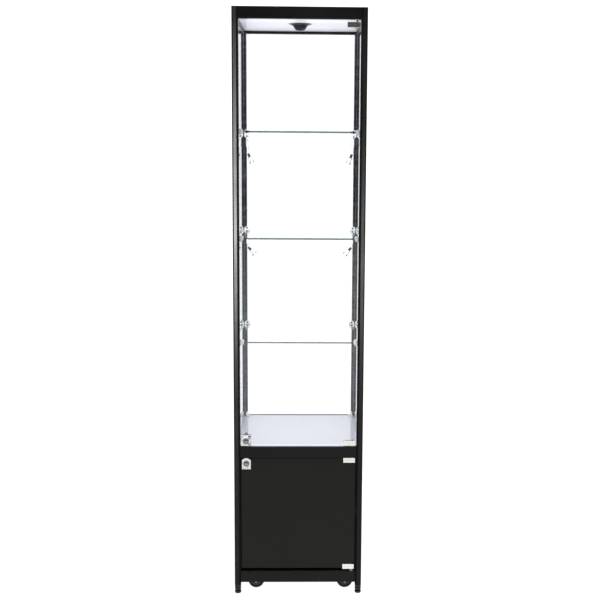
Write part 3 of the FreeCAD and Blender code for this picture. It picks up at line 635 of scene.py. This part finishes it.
def deck_edging():
    """The deck's white laminate laps over the inner strips of the rails round it."""
    strip, sill = 2.9, 8.5      # how wide it is at the sides and back, and how wide in front
    hinge_room = 20             # the front strip stops this far short of the hinge side's post
    round_off = {"corner": 0.3, "edge": 0.1}
    side, top = post_reach - 0.5, deck_top + 0.5
    mould = Mould()
    for sign in (-1, 1):
        xs = sorted((sign * rail_reach, sign * (rail_reach + strip)))
        mould.slab((xs[0], -side, deck_top), (xs[1], side, top), **round_off)
    mould.slab((-side, rail_reach, deck_top), (side, rail_reach + strip, top), **round_off)
    mould.slab((-side, -rail_reach - sill, deck_top), (post_reach - hinge_room, -rail_reach, top),
               **round_off)
    mould.piece("deck_edging", "cabinet", "white_board", white_board)


def corner_blocks():
    """White blocks with a screw, on the deck at the foot of each rear post."""
    outward, inward, deep = 3.6, 9.4, 13    # past the post's inner face, short of it, front to back
    bottom, top = deck_top + 0.52, deck_top + 14.5
    back = post_reach - 0.4
    middle = post_reach + (outward - inward) / 2
    mould = Mould()
    for sign in (-1, 1):
        xs = sorted((sign * (post_reach + outward), sign * (post_reach - inward)))
        mould.slab((xs[0], back - deep, bottom), (xs[1], back, top), corner=4, edge=1.2, axis=1)
        mould.screw((sign * middle, back - deep, deck_top + 7.5), FRONT,
                    radius=2.3, high=0.8, recess=cross(1.3, 0.32), finish=1)
    mould.piece("deck_corner_blocks", "cabinet", "white_nylon", corner_plastic, satin_silver)


def lock_trim(door):
    """A bezel round the barrel, and on the barrel a ring and a rotor with its key slot."""
    x, z = LOCK_MIDDLE[door]
    at = (x, 0, z)
    # how far forward the lock's plate and the barrel reach
    plate, face = -low_high(f"{door}_lock")[0][1], -low_high(f"{door}_lock_barrel")[0][1]
    bezel = Mould()
    bezel.turned(at, FRONT, [
        (plate - 0.3, 8.25), (plate + 0.5, 8.25), (plate + 0.9, 8.7),
        (plate + 0.9, 9.5), (plate + 0.5, 10.2), (plate - 0.3, 10.4),
    ], count=48, tube=True)
    bezel.piece(f"{door}_lock_bezel", door, "lock_steel", turned_steel)
    rotor = Mould()
    rotor.turned(at, FRONT, [
        (face - 0.2, 7.7), (face + 0.3, 7.7), (face + 0.5, 7.5),
        (face + 0.5, 7.0), (face + 0.3, 6.8), (face - 0.2, 6.8),
    ], count=48, tube=True)
    slot = key_slot(4.0, 1.2)
    rotor.turned(at, FRONT, [
        (face - 0.2, 4.9), (face + 0.35, 4.9), (face + 0.55, 4.6), (face + 0.55, slot), (face - 0.2, slot),
    ], count=48, tube=True)
    rotor.piece(f"{door}_lock_rotor", f"{door}_cam", "lock_steel", turned_steel)


def glass_lock_screws():
    """Two dark socket screws that clamp the lock's plates on the pane, the upper one larger."""
    low, high = low_high("glass_door_lock")
    x, face = high[0] - 4.6, -low[1]
    socket = hexagon(1.9)
    mould = Mould()
    for z, wide in ((high[2] - 6.2, 4.2), (low[2] + 5.8, 3.6)):
        mould.turned((x, 0, z), FRONT, [
            (face - 0.2, wide), (face + 0.35, wide), (face + 0.6, wide - 0.3),
            (face + 0.6, socket), (face - 0.15, socket),
        ], count=24)
    mould.piece("glass_door_lock_screws", "glass_door", "lock_steel", dark_steel)


def hinge_trim(door):
    """Grub screws in the backs of a door's clamps, and a pad line across each clamp's jaws."""
    low, high = low_high(f"{door}_hinges")
    clamp_high, both_pins = 16, 26
    # how far a pin stands out, under the lower clamp and over the upper one
    lower_pin = 15 if door == "cupboard_door" else 11
    upper_pin = both_pins - lower_pin
    middles = (low[2] + lower_pin + clamp_high / 2, high[2] - upper_pin - clamp_high / 2)
    screw_inset, back, socket = 9, high[1], hexagon(1.25)
    line_inset, line_half, proud = 1.5, 0.35, 0.12
    mould = Mould()
    for z in middles:
        for x in (low[0] + screw_inset, high[0] - screw_inset):
            mould.turned((x, 0, z), BACK, [
                (back - 0.2, 2.6), (back + 0.25, 2.6), (back + 0.45, 2.35),
                (back + 0.45, socket), (back - 0.1, socket),
            ], count=24)
    for z in middles:
        for y in (low[1] - proud, back - proud):
            mould.slab((low[0] + line_inset, y, z - line_half),
                       (high[0] - line_inset, y + 2 * proud, z + line_half), corner=0.3, edge=0.08, axis=1)
    mould.piece(f"{door}_hinge_screws", door, "lock_steel", turned_steel)


def foot_trim(corner):
    """Screw thread on a foot's stem, grip ribs round its pad and a knurled collar above the pad."""
    low, high = low_high(f"foot_{corner}")
    x, y, ground = (low[0] + high[0]) / 2, (low[1] + high[1]) / 2, low[2]
    stem, depth, pitch, turns, steps = 3.7, 0.672, 1.5, 19, 8
    start = ground + 19.2
    profile = []
    for step in range(turns * steps + 1):
        height = start + pitch * step / steps
        ends = min(step, turns * steps - step) / steps
        crest = depth * min(1, ends)

        def thread(angle, height=height, crest=crest):
            wave = (height / pitch - angle / (2 * math.pi)) % 1
            return stem + crest * (1 - abs(2 * wave - 1))
        profile.append((height, thread))
    mould = Mould()
    mould.turned((x, y, 0), UP, profile, count=24)
    mould.piece(f"foot_thread_{corner}", f"foot_{corner}", "zinc_steel", dark_steel)
    ribs, pad_reach = 24, 9.7
    grip = Mould()
    for step in range(ribs):
        angle = 2 * math.pi * step / ribs
        rib = (x + pad_reach * math.cos(angle), y + pad_reach * math.sin(angle), ground)
        grip.turned(rib, UP, [(2.9, 0.3), (3.3, 0.62), (6.5, 0.62), (6.9, 0.3)], count=8)
    rim = knurled(9.5, 0.3, 30)
    grip.turned((x, y, ground), UP, [
        (11.4, 8.0), (11.8, 9.0), (12.6, rim), (18.2, rim), (18.9, 9.0), (19.2, 7.4),
    ], count=120)
    grip.piece(f"foot_grip_{corner}", f"foot_{corner}", "black_plastic", black_plastic)


def castor_trim(corner):
    """Hub caps with a ring of bosses on the wheel, and domed nuts on the ends of the axle."""
    low, high = low_high(f"castor_wheel_{corner}")
    x, y, z = [(low[i] + high[i]) / 2 for i in range(3)]
    half = (high[1] - low[1]) / 2
    bosses, boss_reach = 6, 13.1
    hub = Mould()
    for direction in (FRONT, BACK):
        hub.turned((x, y, z), direction, [
            (half - 3.3, 11.2), (half - 2.2, 11.2), (half - 1.9, 10.9), (half - 1.9, 9.9),
            (half - 2.2, 9.6), (half - 3.3, 9.6),
        ], count=40, tube=True)
        for step in range(bosses):
            angle = 2 * math.pi * step / bosses
            boss = (x + boss_reach * math.cos(angle), y, z + boss_reach * math.sin(angle))
            hub.turned(boss, direction, [
                (half - 3.3, 1.9), (half - 2.4, 1.9), (half - 2.1, 1.5), (half - 2.1, 0.8), (half - 2.9, 0.6),
            ], count=16)
    hub.piece(f"castor_hub_{corner}", f"castor_wheel_{corner}", "castor_tyre", hub_plastic)
    fork_low, fork_high = low_high(f"castor_fork_{corner}")
    nuts = Mould()
    for direction, edge in ((FRONT, y - fork_low[1]), (BACK, fork_high[1] - y)):
        nuts.turned((x, y, z), direction, [
            (edge - 1.5, hexagon(4.1)), (edge + 0.6, hexagon(4.1)), (edge + 1.0, 4.0), (edge + 1.9, 3.4),
            (edge + 2.4, 2.2), (edge + 2.6, 0.8),
        ], count=24)
    nuts.piece(f"castor_axle_nuts_{corner}", f"castor_{corner}", "zinc_steel", zinc)


def plate_screws():
    """Domed cross-head screws near the corners of the castor plates."""
    seat = low_high("castor_plates")[1][2] - 4.1    # the heads sit this far below the plates' top
    ahead, spread = 14, 16.5    # from the fork's end to its kingpin, and from that to the screws
    recess = cross(2.4, 0.55)
    mould = Mould()
    for corner in CORNERS:
        low, high = low_high(f"castor_fork_{corner}")
        x, y = low[0] + ahead, (low[1] + high[1]) / 2
        for dx in (-spread, spread):
            for dy in (-spread, spread):
                mould.screw((x + dx, y + dy, seat), DOWN, radius=3.9, high=1.2, recess=recess)
    mould.piece("castor_plate_screws", "cabinet", "zinc_steel", zinc)


def bracket_screws():
    """Two cross-head screws in each angle bracket, one in either leg."""
    reach = low_high("board_brackets")[1][0]
    flat_leg, upright_leg = 8.5, 9      # from a bracket's corner to its screws
    head = {"radius": 2.9, "high": 1.1, "recess": cross(1.9, 0.45)}
    # the heights of the boards' faces that the brackets lie on, and which way up each one stands
    rows = ((low_high("ceiling_panel")[1][2], 1), (deck_low[2], -1), (low_high("base_panel")[0][2], -1))
    mould = Mould()
    for z, way in rows:
        for step in range(4):
            angle = math.pi / 2 * step
            out = Vector((math.cos(angle), math.sin(angle), 0))
            flat, tall = out * (reach - flat_leg), out * (reach - BRACKET_THICK)
            mould.screw((flat.x, flat.y, z + way * BRACKET_THICK), (0, 0, way), **head)
            mould.screw((tall.x, tall.y, z + way * upright_leg), -out, **head)
    mould.piece("bracket_screws", "cabinet", "zinc_steel", zinc)


def clip_trim(number):
    """Socket screws in a shelf's clips, above and below the glass."""
    low, high = low_high(f"shelf_clips_{number}")
    shelf_low, shelf_high = low_high(f"shelf_{number}")
    x, z = high[0] - 8.75, (shelf_low[2] + shelf_high[2]) / 2
    # the faces that the screws are in, where they look, and the screws' rise over the glass's middle
    front_clips = (low[1] + 20, BACK, 3.75)
    rear_clips = (high[1] - 24, FRONT, 8.5)
    socket = hexagon(1.35)
    mould = Mould()
    for sign in (-1, 1):
        for y, direction, rise in (front_clips, rear_clips):
            for way in (1, -1):
                mould.turned((sign * x, y, z + rise * way), direction, [
                    (-0.3, 2.9), (0.5, 2.9), (0.75, 2.65), (0.75, socket), (-0.6, socket),
                ], count=24)
    mould.piece(f"shelf_clip_screws_{number}", f"shelf_{number}", "chrome", dark_steel)


def spot_trim(level, side):
    """Inside a side light's mouth a bezel and three small lenses, round its neck a knurled band."""
    body = f"side_light_{level}_{side}"
    sign = -1 if side == "left" else 1
    height, lean = SPOT_POSE[level]
    pivot = Vector((sign * SPOT_X, SPOT_Y, height))
    axis = Vector((-sign * math.sin(math.radians(lean)), 0, -math.cos(math.radians(lean))))
    lenses, lens_reach = 3, 2.9
    lamp = Mould()
    lamp.turned(pivot, axis, [
        (29.2, 6.9), (31.6, 6.9), (31.8, 6.7), (31.8, 6.3), (29.6, 5.6), (29.4, 0.6),
    ], count=40)
    across = axis.orthogonal().normalized()
    for step in range(lenses):
        spoke = across.copy()
        spoke.rotate(Matrix.Rotation(2 * math.pi * step / lenses, 3, axis))
        lamp.turned(pivot + spoke * lens_reach, axis, [
            (29.0, 2.3), (29.9, 2.3), (30.5, 2.05), (31.0, 1.5), (31.3, 0.8), (31.4, 0.25),
        ], finish=1, count=20)
    lamp.piece(f"side_light_lens_{level}_{side}", body, "light_lens", chrome, lamp_lens)
    band = Mould()
    grip = knurled(8.55, 0.22, 36)
    band.turned(pivot, axis, [(24.0, 8.3), (24.3, grip), (28.2, grip), (28.5, 8.3)], count=144)
    band.piece(f"side_light_band_{level}_{side}", body, "chrome", turned_steel)


def ceiling_light_trim():
    """The light's flange screws, a trim ring on the gimbal and a stepped baffle in the eyeball."""
    low, high = low_high("light_ring")
    x, y = (low[0] + high[0]) / 2, (low[1] + high[1]) / 2
    seat, screw_circle = 1.25, 31.4     # up from the ring's lowest edge, and out from its middle
    ring = Mould()
    for degrees in (30, 150, 270):
        angle = math.radians(degrees)
        at = (x + screw_circle * math.cos(angle), y + screw_circle * math.sin(angle), low[2] + seat)
        ring.screw(at, DOWN, radius=2.2, high=0.9, recess=cross(1.4, 0.38))
    ring.piece("light_ring_screws", "cabinet", "black_light", dark_steel)
    z = low_high("light_gimbal")[0][2]
    trim = Mould()
    trim.turned((x, y, 0), UP, [
        (z + 0.3, 22.8), (z - 0.3, 23.1), (z - 0.7, 23.8), (z - 0.7, 24.9), (z - 0.3, 25.6), (z + 0.3, 25.9),
    ], count=64, tube=True)
    trim.piece("light_gimbal_trim", "light_gimbal", "black_light", charcoal)
    mouth = low_high("light_eyeball")[0][2]
    steps, rise, taper = 4, 1.7, 0.35
    baffle = Mould()
    for step in range(steps):
        z = mouth + 0.7 + rise * step
        wide = 12.4 - taper * step
        baffle.turned((x, y, 0), UP, [
            (z, wide + 0.3), (z, wide - 0.5), (z + 0.5, wide - 0.9),
            (z + 1.2, wide - 0.5), (z + 1.2, wide + 0.3),
        ], count=64, tube=True)
    baffle.turned((x, y, 0), UP, [
        (mouth + 0.4, 12.2), (mouth - 0.3, 12.5), (mouth - 0.5, 13.2),
        (mouth - 0.1, 13.8), (mouth + 0.6, 13.9),
    ], count=64, tube=True)
    baffle.piece("light_eyeball_baffle", "light_eyeball", "black_light", dark_charcoal)


deck_edging()
corner_blocks()
for door in DOORS:
    lock_trim(door)
glass_lock_screws()
for door in DOORS:
    hinge_trim(door)
for corner in CORNERS:
    foot_trim(corner)
    castor_trim(corner)
plate_screws()
bracket_screws()
for number in (1, 2, 3):
    clip_trim(number)
for level in LEVELS:
    for side in SIDES:
        spot_trim(level, side)
ceiling_light_trim()


# ---- stage, light and camera ---------------------------------------------------------------

scene = bpy.context.scene
scene.view_settings.view_transform = "Standard"
scene.cycles.transparent_max_bounces = 32

WHITE_SEEN = 1.3      # how bright the backdrop looks to the camera, so that it stays white behind glass
BACK_GLOW = 1.25      # light from behind
FRONT_GLOW = 0.035    # light from the room in front
CEILING_GLOW = 0.45   # light from above
GROUND_GLOW = 1.00    # light from the pale ground beyond the floor
FLOOR_SEEN = 1.02     # how bright the floor looks to the camera
FLOOR_GLOW = 0.80     # what the floor sends out by itself to everything else


def backdrop():
    """White behind the case and dim in front of it; plain white where it is seen itself."""
    world = bpy.data.worlds.new("studio")
    world.use_nodes = True
    tree = world.node_tree
    tree.nodes.clear()

    def node(kind, **inputs):
        made = tree.nodes.new("ShaderNode" + kind)
        for name, value in inputs.items():
            socket = made.inputs[name.replace("_", " ")]
            if isinstance(value, bpy.types.NodeSocket):
                tree.links.new(value, socket)
            else:
                socket.default_value = value
        return made

    def brighter(first, second):
        made = tree.nodes.new("ShaderNodeMath")
        made.operation = "MAXIMUM"
        tree.links.new(first, made.inputs[0])
        tree.links.new(second, made.inputs[1])
        return made.outputs[0]

    direction = tree.nodes.new("ShaderNodeSeparateXYZ")
    tree.links.new(tree.nodes.new("ShaderNodeTexCoord").outputs["Generated"], direction.inputs[0])
    depth = node("MapRange", Value=direction.outputs[1], From_Min=0.05, From_Max=0.6,
                 To_Min=FRONT_GLOW, To_Max=BACK_GLOW)
    above = node("MapRange", Value=direction.outputs[2], From_Min=0.45, From_Max=0.9,
                 To_Min=0.0, To_Max=CEILING_GLOW)
    below = node("MapRange", Value=direction.outputs[2], From_Min=-0.04, From_Max=-0.16,
                 To_Min=0.0, To_Max=GROUND_GLOW)
    level = brighter(brighter(depth.outputs[0], above.outputs[0]), below.outputs[0])
    lit = node("Background", Color=(0.97, 0.98, 1.0, 1), Strength=level)
    seen = node("Background", Color=(1, 1, 1, 1), Strength=WHITE_SEEN)
    mix = tree.nodes.new("ShaderNodeMixShader")
    path = tree.nodes.new("ShaderNodeLightPath")
    tree.links.new(path.outputs["Is Camera Ray"], mix.inputs[0])
    tree.links.new(lit.outputs[0], mix.inputs[1])
    tree.links.new(seen.outputs[0], mix.inputs[2])
    output = tree.nodes.new("ShaderNodeOutputWorld")
    tree.links.new(mix.outputs[0], output.inputs["Surface"])
    scene.world = world


def pale_floor():
    """A pale floor that takes a soft contact shadow, fades out and is clear from below."""
    half, fade_from, fade_to = 2.2, 0.6, 1.9
    mesh = bpy.data.meshes.new("floor")
    mesh.from_pydata([(-half, -half, 0), (half, -half, 0), (half, half, 0), (-half, half, 0)],
                     [], [(0, 1, 2, 3)])
    floor = bpy.data.objects.new("floor", mesh)
    scene.collection.objects.link(floor)
    s = Shader("pale_floor")
    seen = s.node("LightPath").outputs["Is Camera Ray"]
    lit = s.node("BsdfDiffuse", {"Color": (0.35, 0.35, 0.35, 1)})
    strength = s.between(seen, FLOOR_GLOW, FLOOR_SEEN, 0, 1)
    glow = s.node("Emission", {"Color": (1, 1, 1, 1), "Strength": strength})
    both = s.node("AddShader", {0: lit.outputs[0], 1: glow.outputs[0]})
    clear = s.node("BsdfTransparent")
    reach = s.node("VectorMath", {0: s.place}, operation="LENGTH").outputs["Value"]
    fade = s.between(reach, 0, 1, fade_from, fade_to)
    underneath = s.node("NewGeometry").outputs["Backfacing"]
    gone = s.maths("MAXIMUM", fade, underneath)
    body = s.node("MixShader", {0: gone, 1: both.outputs[0], 2: clear.outputs[0]})
    floor.data.materials.append(s.end(body.outputs[0]))


def softbox(name, place, target, wide, high, watts, tint=(1, 1, 1)):
    """A soft rectangular lamp that faces a point."""
    data = bpy.data.lights.new(name, "AREA")
    data.shape = "RECTANGLE"
    data.size = wide
    data.size_y = high
    data.energy = watts
    data.color = tint
    lamp = bpy.data.objects.new(name, data)
    scene.collection.objects.link(lamp)
    lamp.location = place
    lamp.rotation_mode = "QUATERNION"
    lamp.rotation_quaternion = (Vector(place) - Vector(target)).to_track_quat("Z", "Y")
    return lamp


def only_shines_on(lamp, pieces):
    """Keeps a lamp's light to the pieces named, and the lamp itself out of sight."""
    only = bpy.data.collections.new(f"{lamp.name}_lights")
    for piece in pieces:
        only.objects.link(bpy.data.objects[piece])
    lamp.light_linking.receiver_collection = only
    lamp.visible_camera = False


def gleam(name, lit, x, z, wide, high, watts):
    """A lamp beside the camera whose reflection shows only on the pieces named."""
    beside_camera, case_front = -3.30, -0.2
    lamp = softbox(name, (x, beside_camera, z), (x / 3, case_front, 1.1), wide, high, watts)
    lamp.visible_diffuse = False
    only_shines_on(lamp, lit)


def fill(name, place, target, wide, watts):
    """A square lamp that only lights: it is never seen, nor mirrored."""
    cool_white = (0.96, 0.96, 1.0)
    lamp = softbox(name, place, target, wide, wide, watts, cool_white)
    lamp.visible_camera = False
    lamp.visible_glossy = False


def photograph_camera():
    """Eye level at the case's upper third, a little right of its middle, tipped down."""
    data = bpy.data.cameras.new("camera")
    data.lens = 60.748
    data.sensor_width = 36.0
    data.shift_x = -0.0488
    place = (0.02264, -3.2428, 1.3868)
    yaw, pitch, roll = 0.0229, 0.1454, 0.0076
    forward = Vector((math.sin(yaw) * math.cos(pitch), math.cos(yaw) * math.cos(pitch), -math.sin(pitch)))
    level = Vector((math.cos(yaw), -math.sin(yaw), 0))
    upward = level.cross(forward)
    right = level * math.cos(roll) + upward * math.sin(roll)
    up = upward * math.cos(roll) - level * math.sin(roll)
    camera = bpy.data.objects.new("camera", data)
    scene.collection.objects.link(camera)
    turn = Matrix((right, up, -forward)).transposed().to_4x4()
    camera.matrix_world = Matrix.Translation(place) @ turn
    scene.camera = camera


def lamps():
    """One soft light from above, and lamps whose gleam or fill reaches only a few pieces."""
    softbox("overhead", (0.2, -0.9, 3.4), (0, 0, 0.4), wide=2.2, high=1.6, watts=40)
    gleam("left_window", ["post_front_left"], x=-0.60, z=1.04, wide=0.40, high=0.90, watts=200)
    gleam("right_strip", ["post_front_right"], x=0.62, z=0.74, wide=0.34, high=0.50, watts=40)
    bright = [name for name in bpy.data.objects.keys()
              if name.startswith(("side_light", "shelf_clip", "deck_corner"))]
    gleam("fittings_glow", bright, x=0, z=1.20, wide=2.4, high=2.4, watts=12)
    inner = softbox("inner_glow", (0, -0.17, 1.20), (0, 0.2, 1.20), wide=0.25, high=1.0, watts=4)
    only_shines_on(inner, bright)
    locks = [f"{door}_lock{part}" for part in ("", "_bezel") for door in DOORS]
    gleam("locks_glow", locks, x=0, z=0.20, wide=2.4, high=1.2, watts=4.8)
    fill("ceiling_fill", (0, 0, 1.66), (0, 0, 1.8), wide=0.30, watts=0.14)
    fill("deck_fill", (0, 0, 0.79), (0, 0, 0.4), wide=0.30, watts=0.25)


backdrop()
pale_floor()
lamps()
photograph_camera()
